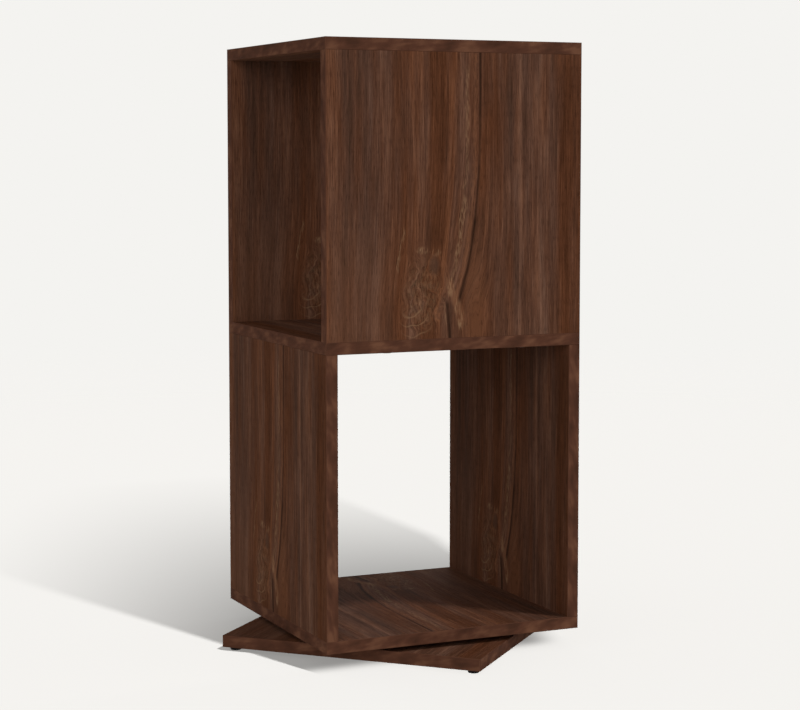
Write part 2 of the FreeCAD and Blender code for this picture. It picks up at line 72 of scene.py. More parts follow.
# Figure of the walnut print, in millimetres

# The print repeats on each board. It is measured across from its middle and along from its lower end.
PRINT_HALF = 170
PRINT_LENGTH = 342

# Where the grain splits, as (along, across): straight above, leaning to the left towards the lower end.
SPLIT_LINE = [(0, 2), (45, 4), (67, 10), (90, 16), (139, 24), (194, 29), (213, 30), (342, 31)]
SPLIT_TOP = SPLIT_LINE[-1][1]

# Pale wood that runs down from the knot to the foot of the split, as (along, across).
ROOT_LINE = [
    (0, 8), (20, 6), (38, 1), (50, -4), (62, -8), (80, -14), (95, -20), (103, -30), (110, -48), (342, -52),
]

# A pale wavy line on the left of the knot, as (along, across).
RIM_LINE = [(0, -72), (60, -76), (82, -79), (102, -75), (125, -71), (155, -74), (342, -74)]

# Two short splits at the lower end, by how far they lean to the left for each millimetre along.
SHORT_SPLITS = {"short": 0.09, "other": -0.03}

# How far the grain leans with the split, as (across, share).
SWAY = [
    (-170, 0), (-140, 0.02), (-108, 0.33), (-75, 0.36), (-40, 0.5), (-8, 0.95), (6, 1), (30, 0.62),
    (60, 0.14), (90, 0), (170, 0),
]

# Bands of the print, as (across, tone) from dark 0 to pale 1.
TONE_BANDS = [
    (-170, 0.58), (-160, 0.55), (-138, 0.38), (-125, 0.42), (-108, 0.42), (-96, 0.58), (-77, 0.42),
    (-62, 0.5), (-48, 0.6), (-36, 0.45), (-18, 0.36), (2, 0.6), (18, 0.58), (31, 0.44), (44, 0.42),
    (56, 0.42), (78, 0.46), (84, 0.6), (86, 0.74), (88, 0.6), (95, 0.44), (114, 0.6), (130, 0.48),
    (155, 0.34), (170, 0.42),
]

# Bands of the print, as (across, warmth) from greyish 0 to reddish 1, and how noise changes them.
WARM_BANDS = [
    (-170, 1), (-160, 0.5), (-120, 0.15), (-96, 0.3), (-80, 0.5), (-60, 0.8), (-46, 0.5), (-25, 1), (-8, 0.9),
    (5, 0.6), (22, 0.4), (40, 0.7), (60, 0.5), (86, 0.25), (115, 0.25), (135, 0.5), (155, 0.95), (170, 0.7),
]
WARM_LEVELS = (0.2, 0.8)
WARM_CHANGE = 0.4

# Clouds, streaks and fibres, as (width, length, detail, strength). Fibres are drawn coarser, to show.
GRAIN_LAYERS = [(22, 110, 2, 0.42), (4, 170, 3, 0.7), (1.3, 40, 3, 0.85)]

# The knot and the area of its rings, as (across, along, half width, half length). Rings wander by a share of
# their spacing, and show where a wave from 0 to 0.5 is above RING_EDGE.
KNOT = (-42, 50, 36, 66)
RING_AREA = (-54, 21, 25, 32)
RING_MIDDLE = (-60, 39, 0)
RING_SPACING = 11
RING_WANDER = 0.7
RING_EDGE = 0.37
RING_STRENGTH = 0.4

# Broad pale areas, and pale spots round the knot, as (across, along, half width, half length, strength).
PALE_AREAS = [(-140, 30, 75, 150, 0.18), (24, 35, 20, 120, 0.32)]
PALE_SPOTS = [
    (-45, 52, 34, 60, 0.22), (-46, 106, 10, 6, 0.7), (-27, 103, 8, 6, 0.5), (-8, 61, 7, 15, 0.8),
    (0, 38, 5, 13, 0.6), (5, 20, 6, 14, 0.5),
]

# Dark spots over the knot, as (across, along, half width, half length, colour, strength).
DARK_SPOTS = [(-29, 122, 15, 22, "red_dark", 0.4), (-30, 88, 10, 17, "patch", 0.5)]

# Strokes along the grain, in the order they are laid, as (line, distance to its left, half width, start, end,
# colour, strength, whether flecks break it).
STROKES = [
    ("split", 6, 6, 40, 400, "sapwood", 0.4, True),
    ("split", 6, 5, 36, 150, "sapwood", 0.3, False),
    ("border", 17, 3.5, 60, 330, "fleck", 0.32, True),
    ("border", 17, 4.5, 92, 170, "fleck", 0.3, True),
    ("root", 0, 5, 60, 112, "sapwood", 0.4, True),
    ("root", 0, 9, 12, 76, "sapwood", 0.4, False),
    ("root", 0, 8, 8, 78, "fleck", 0.18, True),
    ("rim", 0, 2.6, 76, 140, "fleck", 0.36, True),
    ("split", 0, 2.4, 41, 400, "split", 0.6, False),
    ("split", 0, 4, 38, 150, "split", 0.45, False),
    ("split", 0, 2.4, 262, 400, "split", 0.35, False),
    ("short", 12.2, 1.8, 12, 48, "fleck", 0.4, True),
    ("short", 9, 3.2, -20, 50, "split", 0.72, False),
    ("other", 8.5, 3.2, -20, 48, "split", 0.45, False),
]

# How much of a stroke's half width and of a spot's radius is solid, and how long a stroke takes to fade.
STROKE_CORE = 0.2
SPOT_CORE = 0.3
STROKE_FADE = 10

# Noise levels where flecks and pores begin and are full, a pore's light, and the roughness beside and in it.
FLECK_EDGES = (0.4, 0.62)
PORE_EDGES = (0.54, 0.72)
PORE_LIGHT = 0.72
PORE_ROUGHNESS = (0.78, 0.9)

# The edge strips' print: lean of its curls, their share, the levels from dark to pale, and the roughness.
EDGING_SLANT = 0.15
EDGING_CURLS = 0.4
EDGING_LEVELS = (0.43, 0.97)
EDGING_ROUGHNESS = (0.64, 0.76)


# Fasteners

# Sides round and rings along a mesh, and how far apart the solids of one node stand at least, in metres.
BALL_MESH = (24, 12)
DOWEL_MESH = (72, 30)
SCREW_MESH = (24, 160)
BALL_REACH = 6 * MM
DOWEL_REACH = 12 * MM
SCREW_REACH = 14 * MM

# A thread's root as a share of its diameter, where its flank starts on a turn, and the tip's end as a share.
THREAD_ROOT = 0.8
THREAD_FLANK = 0.15
TIP_END = 0.35

# Width of a crossed slot, as a share of its length.
SLOT_WIDTH = 0.25

# Screws, in millimetres. A head is Head wide at its end and Rim wide after its taper.
BOARD_SCREW = {
    "Head": 10, "Taper": 1.5, "Head height": 1.5, "Rim": 7, "Shank": 7, "Shank length": 15, "Thread": 5,
    "Length": 48, "Tip": 4, "Socket": 4, "Socket depth": 3,
}
PLATE_SCREW = {
    "Head": 5.2, "Taper": 1.1, "Head height": 1.6, "Rim": 7.5, "Shank": 3.5, "Shank length": 3, "Thread": 3.5,
    "Length": 13.6, "Tip": 3, "Socket": 4.2, "Socket depth": 0.7,
}


# Light

# Lamps, as headings to the right of straight in front and heights above the floor, both in degrees.
KEY_AIM = (43, 54)
FILL_AIM = (-38, 14)
BACK_AIM = (140, 5)

# Power of a point lamp that lights a white floor to white, where its light does not fall off.
FLOOR_LAMP_POWER = 4 * math.pi ** 2

# Sides of the floor, and where it starts to fade as a share of its radius.
FLOOR_SIDES = 96
FLOOR_FADE = 0.4

# Width of the camera's sensor, in millimetres.
SENSOR_WIDTH = 36


# Colours, settings and nodes

def linear(code):
    """Linear colour of an sRGB hex value."""
    values = [int(code[start:start + 2], 16) / 255 for start in (1, 3, 5)]
    return tuple(value / 12.92 if value <= 0.04045 else ((value + 0.055) / 1.055) ** 2.4 for value in values)


def colour(name, description, code):
    """A colour that a user can change."""
    return FloatVectorProperty(
        name=name, description=description, subtype="COLOR", size=3, min=0, max=1, default=linear(code)
    )


def place_at(name, description, point):
    """A place that a user can change."""
    return FloatVectorProperty(name=name, description=description, subtype="TRANSLATION", default=point)


def metres(name, description, default):
    """A length that a user can change."""
    return FloatProperty(name=name, description=description, default=default, unit="LENGTH", precision=4)


def degrees(name, description, default):
    """An angle that a user can change, given in degrees."""
    return FloatProperty(name=name, description=description, default=math.radians(default), subtype="ANGLE")


def number(name, description, default, **limits):
    """A plain number that a user can change."""
    return FloatProperty(name=name, description=description, default=default, **limits)


def fill(node, inputs):
    """Fills inputs, by name or place, from sockets or values. None fills nothing, and a colour has three."""
    for key, value in inputs.items() if isinstance(inputs, dict) else enumerate(inputs):
        socket = node.inputs[key]
        if isinstance(value, bpy.types.NodeSocket):
            node.id_data.links.new(value, socket)
        elif value is not None:
            socket.default_value = (*value, 1) if socket.type == "RGBA" else value


def add(tree, kind, inputs=(), operation=None, stops=(), points=(), **settings):
    """Adds a node with its settings and inputs, and returns its outputs.

    A shader node's kind goes without its prefix. stops are a ramp's, points a curve's.
    """
    node = tree.nodes.new(kind if "Node" in kind else f"ShaderNode{kind}")
    if operation:
        node.operation = operation
    for name, value in settings.items():
        setattr(node, name, value)
    fill(node, inputs)
    if stops:
        elements = node.color_ramp.elements
        while len(elements) < len(stops):
            elements.new(1)
        for element, (position, shade) in zip(elements, stops):
            element.position = position
            element.color = (*shade, 1)
    if points:
        curve = node.mapping.curves[0]
        curve.points[0].location = points[0]
        curve.points[1].location = points[-1]
        for x, y in points[1:-1]:
            curve.points.new(x, y)
        node.mapping.update()
    return node.outputs


def new_group(name, kind, inputs, outputs):
    """An empty node group and the sockets of its inputs. inputs and outputs are kinds of socket by name."""
    tree = bpy.data.node_groups.new(name, f"{kind}NodeTree")
    for way, sockets in (("INPUT", inputs), ("OUTPUT", outputs)):
        for socket, held in sockets.items():
            tree.interface.new_socket(socket, in_out=way, socket_type=f"NodeSocket{held}")
    return tree, add(tree, "NodeGroupInput")


def new_print(name):
    """An empty shader group for a print, and its inputs Across and Along, which are in millimetres."""
    outputs = {"Color": "Color", "Roughness": "Float", "Height": "Float"}
    tree, given = new_group(name, "Shader", {"Across": "Float", "Along": "Float"}, outputs)
    return tree, given["Across"], given["Along"]


def grain_noise(tree, place, width, length, detail=2, distortion=0, reach=None):
    """Noise in patches of width by length millimetres, from 0 to 1 or from minus reach to reach."""
    stretched = add(tree, "Mapping", {"Vector": place, "Scale": (1 / width, 1 / length, 1)})[0]
    inputs = {"Vector": stretched, "Scale": 1, "Detail": detail, "Distortion": distortion}
    noise = add(tree, "TexNoise", inputs, noise_dimensions="2D")["Fac"]
    return noise if reach is None else add(tree, "MapRange", [noise, 0, 1, -reach, reach])[0]


def line_across(tree, share_along, line):
    """Where a line of the print lies across it, at a share of the way along."""
    points = [(along / PRINT_LENGTH, 0.5 + across / (2 * PRINT_HALF)) for along, across in line]
    share = add(tree, "FloatCurve", [1, share_along], points=points)[0]
    return add(tree, "MapRange", [share, 0, 1, -PRINT_HALF, PRINT_HALF])[0]


def band_value(tree, across, bands):
    """Value of a list of bands at a place across the print."""
    share = add(tree, "MapRange", [across, -PRINT_HALF, PRINT_HALF])[0]
    points = [(0.5 + place / (2 * PRINT_HALF), value) for place, value in bands]
    return add(tree, "FloatCurve", [1, share], points=points)[0]


def stroke(tree, off, half_width, along, start, end):
    """Mask of a stroke along the grain: 1 where off is 0, and 0 from half_width on or past its ends."""
    beside = add(tree, "Math", [off], "ABSOLUTE")[0]
    line = add(tree, "MapRange", [beside, STROKE_CORE * half_width, half_width, 1, 0], **SOFT)[0]
    begun = add(tree, "MapRange", [along, start, start + STROKE_FADE, 0, line], **SOFT)[0]
    return add(tree, "MapRange", [along, end - STROKE_FADE, end, begun, 0], **SOFT)[0]


def spot(tree, place, across, along, half_width, half_length):
    """Mask of a soft oval: 1 in its middle and 0 at its rim."""
    middle = (-across / half_width, -along / half_length, 0)
    scale = (1 / half_width, 1 / half_length, 0)
    oval = add(tree, "Mapping", {"Vector": place, "Location": middle, "Scale": scale})[0]
    distance = add(tree, "VectorMath", [oval], "LENGTH")["Value"]
    return add(tree, "MapRange", [distance, SPOT_CORE, 1, 1, 0], **SOFT)[0]


def shaded(tree, tone, *shades):
    """Colour between a dark, a usual and a pale shade."""
    return add(tree, "ValToRGB", [tone], stops=[*zip(RAMP, shades)])[0]


def paint(tree, under, mask, shade, strength=1):
    """Lays one colour over another where the mask is 1, at the given strength."""
    weight = add(tree, "Math", [mask, strength], "MULTIPLY")[0]
    return add(tree, "Mix", {0: weight, 6: under, 7: shade}, data_type="RGBA")[2]


def print_place(tree, turn, start):
    """Where a point of a board lies on its print, in millimetres, as (across, along) sockets.

    The turn brings the grain upright, and start is added along it. Across runs to the right as one faces it.
    """
    rotation = turn.to_euler()
    source = add(tree, "TexCoord")
    point = add(tree, "Mapping", [source["Object"], (0, 0, start), rotation, [1 / MM] * 3])[0]
    normal = add(tree, "Mapping", [source["Normal"], None, rotation], vector_type="VECTOR")[0]
    aside = add(tree, "VectorMath", [normal, point], "CROSS_PRODUCT")[0]
    return [add(tree, "SeparateXYZ", [vector])["Z"] for vector in (aside, point)]


def new_material(name):
    """A material, its tree and its shader node."""
    material = bpy.data.materials.new(name)
    material.use_nodes = True
    return material, material.node_tree, material.node_tree.nodes["Principled BSDF"]


def new_object(name, data):
    """A new object in the scene."""
    item = bpy.data.objects.new(name, data)
    bpy.context.scene.collection.objects.link(item)
    return item


def turned(angle, axis):
    """A turn about an axis, by an angle in degrees."""
    return Matrix.Rotation(math.radians(angle), 3, axis)


def give(names, material):
    """Puts a material in the slots of CAD nodes."""
    for name in names:
        for slot in nodes[name].material_slots:
            slot.material = material


# Walnut print and edge strips

def walnut_print(look):
    """Group that draws the printed walnut at a place of the print."""
    tree, across, along = new_print("Walnut print")
    flat_place = add(tree, "CombineXYZ", [across, along])[0]
    share_along = add(tree, "Math", [along, PRINT_LENGTH], "DIVIDE")[0]

    # The grain leans with the split, curls in the knot, and wanders a little everywhere.
    split = line_across(tree, share_along, SPLIT_LINE)
    lean = add(tree, "Math", [SPLIT_TOP, split], "SUBTRACT")[0]
    sway = band_value(tree, across, SWAY)
    leaning = add(tree, "Math", [lean, sway, across], "MULTIPLY_ADD")[0]
    wander = grain_noise(tree, flat_place, width=60, length=420, detail=1, reach=4)
    wandering = add(tree, "Math", [leaning, wander], "ADD")[0]
    knot = spot(tree, flat_place, *KNOT)
    curl = grain_noise(tree, flat_place, width=16, length=26, reach=30)
    grain_across = add(tree, "Math", [curl, knot, wandering], "MULTIPLY_ADD")[0]
    place = add(tree, "CombineXYZ", [grain_across, along])[0]

    # Broad bands, with clouds, streaks and fibres drawn out along the grain, and a curly figure in the knot.
    tone = band_value(tree, grain_across, TONE_BANDS)
    for width, length, detail, strength in GRAIN_LAYERS:
        change = grain_noise(tree, place, width, length, detail, reach=strength / 2)
        tone = add(tree, "Math", [tone, change], "ADD")[0]
    curly = grain_noise(tree, flat_place, width=6, length=12, detail=3, distortion=1.5, reach=0.5)
    tone = add(tree, "Math", [curly, knot, tone], "MULTIPLY_ADD")[0]

    # Broken rings in the lower left of the knot.
    ring_distance = add(tree, "VectorMath", [flat_place, RING_MIDDLE], "DISTANCE")["Value"]
    ring_noise = grain_noise(tree, flat_place, width=16, length=16, detail=1)
    ring_shift = add(tree, "Math", [ring_noise, RING_WANDER], "MULTIPLY")[0]
    ring_phase = add(tree, "Math", [ring_distance, 1 / RING_SPACING, ring_shift], "MULTIPLY_ADD")[0]
    ring_wave = add(tree, "Math", [ring_phase, 0.5], "PINGPONG")[0]
    ring_line = add(tree, "MapRange", [ring_wave, RING_EDGE, 0.5], **SOFT)[0]
    rings = add(tree, "Math", [ring_line, spot(tree, flat_place, *RING_AREA)], "MULTIPLY")[0]

    # Tone and warmth choose the colour.
    warm_bands = band_value(tree, grain_across, WARM_BANDS)
    warm_noise = grain_noise(tree, place, width=14, length=160)
    warm_change = add(tree, "MapRange", [warm_noise, *WARM_LEVELS, -WARM_CHANGE, WARM_CHANGE])[0]
    warmth = add(tree, "Math", [warm_bands, warm_change], "ADD", use_clamp=True)[0]
    grey_wood = shaded(tree, tone, look.grey_dark, look.grey_mid, look.grey_pale)
    red_wood = shaded(tree, tone, look.red_dark, look.red_mid, look.red_pale)
    wood = paint(tree, grey_wood, warmth, red_wood)

    # The wood is paler and redder at the lower left and right of the split.
    for *oval, strength in PALE_AREAS:
        wood = paint(tree, wood, spot(tree, flat_place, *oval), look.sapwood, strength)

    # Flecks break up everything pale.
    fleck_noise = grain_noise(tree, flat_place, width=1.5, length=10, detail=3, distortion=0.2)
    flecks = add(tree, "MapRange", [fleck_noise, *FLECK_EDGES], **SOFT)[0]
    for *oval, strength in PALE_SPOTS:
        broken = add(tree, "Math", [spot(tree, flat_place, *oval), flecks], "MULTIPLY")[0]
        wood = paint(tree, wood, broken, look.fleck, strength)
    wood = paint(tree, wood, rings, look.fleck, RING_STRENGTH)

    # Strokes follow the split, its ragged border, the root, the rim of the knot and the short splits.
    ragged = grain_noise(tree, flat_place, width=8, length=24, reach=4)
    past_split = add(tree, "Math", [across, split], "SUBTRACT")[0]
    lines = {"split": past_split, "border": add(tree, "Math", [past_split, ragged], "ADD")[0]}
    for name, line in (("root", ROOT_LINE), ("rim", RIM_LINE)):
        off = add(tree, "Math", [across, line_across(tree, share_along, line)], "SUBTRACT")[0]
        lines[name] = add(tree, "Math", [off, ragged], "ADD")[0]
    for name, slope in SHORT_SPLITS.items():
        lines[name] = add(tree, "Math", [along, slope, across], "MULTIPLY_ADD")[0]
    for name, distance, half_width, start, end, shade, strength, broken in STROKES:
        off = add(tree, "Math", [lines[name], distance], "ADD")[0]
        mask = stroke(tree, off, half_width, along, start, end)
        if broken:
            mask = add(tree, "Math", [mask, flecks], "MULTIPLY")[0]
        wood = paint(tree, wood, mask, getattr(look, shade), strength)
    for *oval, shade, strength in DARK_SPOTS:
        wood = paint(tree, wood, spot(tree, flat_place, *oval), getattr(look, shade), strength)

    # Pores: short dark strokes, drawn coarser, to show.
    pore_noise = grain_noise(tree, place, width=0.9, length=11, detail=1)
    pores = add(tree, "MapRange", [pore_noise, *PORE_EDGES], **SOFT)[0]
    pore_light = add(tree, "MapRange", [pores, 0, 1, 1, PORE_LIGHT])[0]
    pored = add(tree, "VectorMath", {0: wood, "Scale": pore_light}, "SCALE")[0]
    roughness = add(tree, "MapRange", [pores, 0, 1, *PORE_ROUGHNESS])[0]
    height = add(tree, "Math", [1, pores], "SUBTRACT")[0]
    add(tree, "NodeGroupOutput", {"Color": pored, "Roughness": roughness, "Height": height})
    return tree


def edging_print(look):
    """Group that draws the strip's own print: cloudy red-brown with soft slanting curls."""
    tree, across, along = new_print("Edging print")
    slant = add(tree, "Math", [along, EDGING_SLANT, across], "MULTIPLY_ADD")[0]
    place = add(tree, "CombineXYZ", [slant, along])[0]
    clouds = grain_noise(tree, place, width=17, length=30)
    curls = grain_noise(tree, place, width=5, length=22)
    tone = add(tree, "Math", [curls, EDGING_CURLS, clouds], "MULTIPLY_ADD")[0]
    level = add(tree, "MapRange", [tone, *EDGING_LEVELS])[0]
    shade = shaded(tree, level, look.dark, look.mid, look.pale)

    # Fine pores in the lacquer, drawn coarser, to show.
    pores = grain_noise(tree, place, width=1.2, length=9, detail=1)
    roughness = add(tree, "MapRange", [pores, *NOISE_LEVELS, *EDGING_ROUGHNESS])[0]
    add(tree, "NodeGroupOutput", {"Color": shade, "Roughness": roughness, "Height": pores})
    return tree


def printed_material(name, group, turn, start):
    """Melamine-faced board or lacquered ABS strip: a matt print with fine pores and hardly any gloss."""
    material, tree, shader = new_material(name)
    across, along = print_place(tree, turn, start)
    drawn = add(tree, "Group", {"Across": across, "Along": along}, node_tree=group)
    pressed = add(tree, "Bump", {"Strength": 0.4, "Distance": 0.1 * MM, "Height": drawn["Height"]})[0]
    looks = {"Base Color": drawn["Color"], "Roughness": drawn["Roughness"], "Normal": pressed}
    fill(shader, {**looks, "Specular IOR Level": 0.01})
    return material


# Plastic, steel and beech

def speckled(tree, size, low=0, high=1):
    """Noise in patches of size millimetres, as a number from low to high."""
    point = add(tree, "TexCoord")["Object"]
    noise = add(tree, "TexNoise", {"Vector": point, "Scale": 1 / (size * MM), "Detail": 2})["Fac"]
    return add(tree, "MapRange", [noise, *NOISE_LEVELS, low, high])[0]


def plastic_material(name, shade, roughness, texture, gloss=0.5):
    """Injection-moulded plastic: even colour, with the fine spark-eroded texture of its mould.

    texture is the size of its grains in millimetres.
    """
    material, tree, shader = new_material(name)
    change = 0.06
    rough = speckled(tree, size=2, low=roughness - change, high=roughness + change)
    height = speckled(tree, size=texture)
    bump = add(tree, "Bump", {"Strength": 0.3, "Distance": 0.05 * MM, "Height": height})[0]
    looks = {"Base Color": shade, "IOR": 1.49, "Specular IOR Level": gloss}
    fill(shader, {**looks, "Roughness": rough, "Normal": bump})
    return material


def plated_material(name, look):
    """Zinc-plated steel, bluish passivated: bright grey, with a cloudy sheen from the bath."""
    material, tree, shader = new_material(name)
    shade = paint(tree, look.zinc, speckled(tree, size=14), look.zinc_dull)
    rough = speckled(tree, size=3, low=0.28, high=0.44)
    fill(shader, {"Base Color": shade, "Metallic": 1, "Roughness": rough})
    return material


def polished_material(name, shade):
    """Hardened ball steel, ground and lapped: a mirror with faint running marks."""
    material, tree, shader = new_material(name)
    rough = speckled(tree, size=0.8, low=0.06, high=0.16)
    fill(shader, {"Base Color": shade, "Metallic": 1, "Roughness": rough})
    return material


def beech_material(name, look):
    """Turned beech: pale pink-brown, with darker rays 0.7 mm wide that are drawn out along the dowel."""
    material, tree, shader = new_material(name)
    point = add(tree, "TexCoord")["Object"]
    drawn_out = add(tree, "Mapping", {"Vector": point, "Scale": (1, 1, 0.12)})[0]
    rays = add(tree, "TexNoise", {"Vector": drawn_out, "Scale": 1 / (0.7 * MM), "Detail": 2})["Fac"]
    shade = add(tree, "ValToRGB", [rays], stops=[(0.35, look.beech), (0.65, look.beech_ray)])[0]
    fill(shader, {"Base Color": shade, "Roughness": 0.6})
    return material


# Balls, dowels and screws, made of a few numbers each

def new_shape(name, sizes):
    """An empty geometry tree with seats, a material and named sizes as inputs, and those inputs' sockets."""
    inputs = {"Seats": "Geometry", "Material": "Material", **dict.fromkeys(sizes, "Float")}
    return new_group(name, "Geometry", inputs, {"Geometry": "Geometry"})


def set_on_seats(tree, given, shape):
    """Ends a tree: the shape on every seat, as one mesh with the material."""
    seats = add(tree, "GeometryNodeMeshToPoints", [given["Seats"]])[0]
    placed = add(tree, "GeometryNodeInstanceOnPoints", {"Points": seats, "Instance": shape})[0]
    realized = add(tree, "GeometryNodeRealizeInstances", [placed])[0]
    painted = add(tree, "GeometryNodeSetMaterial", {"Geometry": realized, "Material": given["Material"]})[0]
    add(tree, "NodeGroupOutput", [painted])


def turned_shape(tree, sides, rings, length, radius):
    """A rod up from 0, whose radius is a function of the sockets (height, angle) that returns one."""
    inputs = {"Vertices": sides, "Side Segments": rings, "Radius": 1, "Depth": 1}
    rod = add(tree, "GeometryNodeMeshCylinder", inputs, fill_type="TRIANGLE_FAN")["Mesh"]
    position = add(tree, "GeometryNodeInputPosition")[0]
    raised = add(tree, "VectorMath", [position, (0, 0, 0.5)], "ADD")[0]
    x, y, share = add(tree, "SeparateXYZ", [raised])[:]
    height = add(tree, "Math", [share, length], "MULTIPLY")[0]
    angle = add(tree, "Math", [y, x], "ARCTAN2")[0]
    wide = radius(height, angle)
    size = add(tree, "CombineXYZ", [wide, wide, length])[0]
    place = add(tree, "VectorMath", [raised, size], "MULTIPLY")[0]
    return add(tree, "GeometryNodeSetPosition", {"Geometry": rod, "Position": place})[0]


def ball_shape():
    """Tree for bearing balls."""
    tree, given = new_shape("Ball", ("Diameter",))
    segments, rings = BALL_MESH
    radius = add(tree, "Math", [given["Diameter"], 0.5], "MULTIPLY")[0]
    sizes = {"Segments": segments, "Rings": rings, "Radius": radius}
    ball = add(tree, "GeometryNodeMeshUVSphere", sizes)["Mesh"]
    smooth = add(tree, "GeometryNodeSetShadeSmooth", {"Geometry": ball})[0]
    set_on_seats(tree, given, smooth)
    return tree


def dowel_shape():
    """Tree for fluted dowels with chamfered ends."""
    tree, given = new_shape("Dowel", ("Diameter", "Length", "Chamfer", "Flutes", "Flute depth"))

    def radius(height, angle):
        full = add(tree, "Math", [given["Diameter"], 0.5], "MULTIPLY")[0]
        left = add(tree, "Math", [given["Length"], height], "SUBTRACT")[0]
        end = add(tree, "Math", [height, left], "MINIMUM")[0]
        cut = add(tree, "MapRange", [end, 0, given["Chamfer"], given["Chamfer"], 0])[0]
        turn = add(tree, "Math", [angle, given["Flutes"]], "MULTIPLY")[0]
        wave = add(tree, "Math", [turn], "COSINE")[0]
        flute = add(tree, "MapRange", [wave, 0, 1, 0, given["Flute depth"]])[0]
        fluted = add(tree, "Math", [full, flute], "SUBTRACT")[0]
        return add(tree, "Math", [fluted, cut], "SUBTRACT")[0]

    set_on_seats(tree, given, turned_shape(tree, *DOWEL_MESH, given["Length"], radius))
    return tree


def hexagon_socket(tree, given, twice_deep):
    """What cuts a hexagon socket, Socket wide across its flats."""
    corner = add(tree, "Math", [given["Socket"], 1 / math.sqrt(3)], "MULTIPLY")[0]
    cutter = {"Vertices": 6, "Radius": corner, "Depth": twice_deep}
    return [add(tree, "GeometryNodeMeshCylinder", cutter, fill_type="NGON")["Mesh"]]


def cross_slots(tree, given, twice_deep):
    """What cuts two crossed slots, Socket long."""
    width = add(tree, "Math", [given["Socket"], SLOT_WIDTH], "MULTIPLY")[0]
    sides = ((given["Socket"], width), (width, given["Socket"]))
    sizes = [add(tree, "CombineXYZ", [x, y, twice_deep])[0] for x, y in sides]
    return [add(tree, "GeometryNodeMeshCube", {"Size": size})["Mesh"] for size in sizes]


def screw_shape(name, sizes, drive):
    """Tree for wood screws that point up, with what the drive cuts in the head."""
    tree, given = new_shape(name, (*sizes, "Pitch", "Turned over"))

    def radius(height, angle):
        half = {}
        for size in ("Head", "Rim", "Shank", "Thread"):
            half[size] = add(tree, "Math", [given[size], 0.5], "MULTIPLY")[0]
        climb = add(tree, "Math", [height, given["Pitch"]], "DIVIDE")[0]
        phase = add(tree, "Math", [angle, 1 / (2 * math.pi), climb], "MULTIPLY_ADD")[0]
        ridge = add(tree, "Math", [phase, 0.5], "PINGPONG")[0]
        depth = add(tree, "MapRange", [ridge, THREAD_FLANK, 0.5, THREAD_ROOT, 1])[0]
        thread = add(tree, "Math", [depth, half["Thread"]], "MULTIPLY")[0]
        left = add(tree, "Math", [given["Length"], height], "SUBTRACT")[0]
        taper = add(tree, "MapRange", [left, 0, given["Tip"], TIP_END, 1])[0]
        tapered = add(tree, "Math", [thread, taper], "MULTIPLY")[0]
        on_shank = add(tree, "Math", [height, given["Shank length"]], "LESS_THAN")[0]
        body = add(tree, "Mix", {0: on_shank, 2: tapered, 3: half["Shank"]}, data_type="FLOAT")[0]
        head = add(tree, "MapRange", [height, 0, given["Taper"], half["Head"], half["Rim"]])[0]
        in_head = add(tree, "Math", [height, given["Head height"]], "LESS_THAN")[0]
        return add(tree, "Mix", {0: in_head, 2: body, 3: head}, data_type="FLOAT")[0]

    screw = turned_shape(tree, *SCREW_MESH, given["Length"], radius)
    twice_deep = add(tree, "Math", [given["Socket depth"], 2], "MULTIPLY")[0]
    for cutter in drive(tree, given, twice_deep):
        both = {"Mesh 1": screw, "Mesh 2": cutter}
        screw = add(tree, "GeometryNodeMeshBoolean", both, "DIFFERENCE", solver="MANIFOLD")["Mesh"]
    over = add(tree, "CombineXYZ", [given["Turned over"]])[0]
    pointed = add(tree, "GeometryNodeTransform", {"Geometry": screw, "Rotation": over})[0]
    set_on_seats(tree, given, pointed)
    return tree


def boxes_of_solids(name, reach):
    """Corners of each solid of a CAD node whose solids stand further apart than reach, in metres."""
    boxes = []
    for vertex in nodes[name].data.vertices:
        point = vertex.co
        for low, high in boxes:
            aside = point - (low + high) / 2
            if max(abs(aside.x), abs(aside.y)) < reach:
                low[:] = map(min, low, point)
                high[:] = map(max, high, point)
                break
        else:
            boxes.append((point.copy(), point.copy()))
    return boxes


def set_out(name, tree, sizes, seats, material, body, slot, *replaced):
    """Makes a plain mesh of a shape on its seats, and lets it stand for CAD nodes.

    seats are points in metres. sizes go by input name, as metres, counts or radians.
    """
    points = bpy.data.meshes.new(name)
    points.from_pydata(seats, [], [])
    holder = new_object(f"{name}_seats", points)
    modifier = holder.modifiers.new(name, "NODES")
    modifier.node_group = tree
    values = {**sizes, "Material": material}
    for item in tree.interface.items_tree:
        if item.name in values:
            modifier[item.identifier] = values[item.name]
    holder_now = holder.evaluated_get(bpy.context.evaluated_depsgraph_get())
    mesh = bpy.data.meshes.new_from_object(holder_now)
    bpy.data.objects.remove(holder)
    mesh.materials.clear()
    mesh.materials.append(material)
    piece = new_object(name, mesh)
    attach(piece, body)
    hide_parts(*replaced)


# Stage

def link_lamp(name, lamp, floor, link_state):
    """Puts in a lamp that lights the floor alone, for INCLUDE, or all but the floor, for EXCLUDE."""
    lamp_object = new_object(name, lamp)
    lit = bpy.data.collections.new(name)
    lit.objects.link(floor)
    lit.collection_objects[0].light_linking.link_state = link_state
    lamp_object.light_linking.receiver_collection = lit
    return lamp_object


def add_sun(name, strength, size, aim, floor):
    """A distant lamp on the bookcase."""
    heading, height = aim
    lamp = bpy.data.lights.new(name, "SUN")
    lamp.energy = strength
    lamp.angle = size
    lamp_object = link_lamp(name, lamp, floor, "EXCLUDE")
    lamp_object.rotation_euler = (math.radians(90 - height), 0, math.radians(heading))


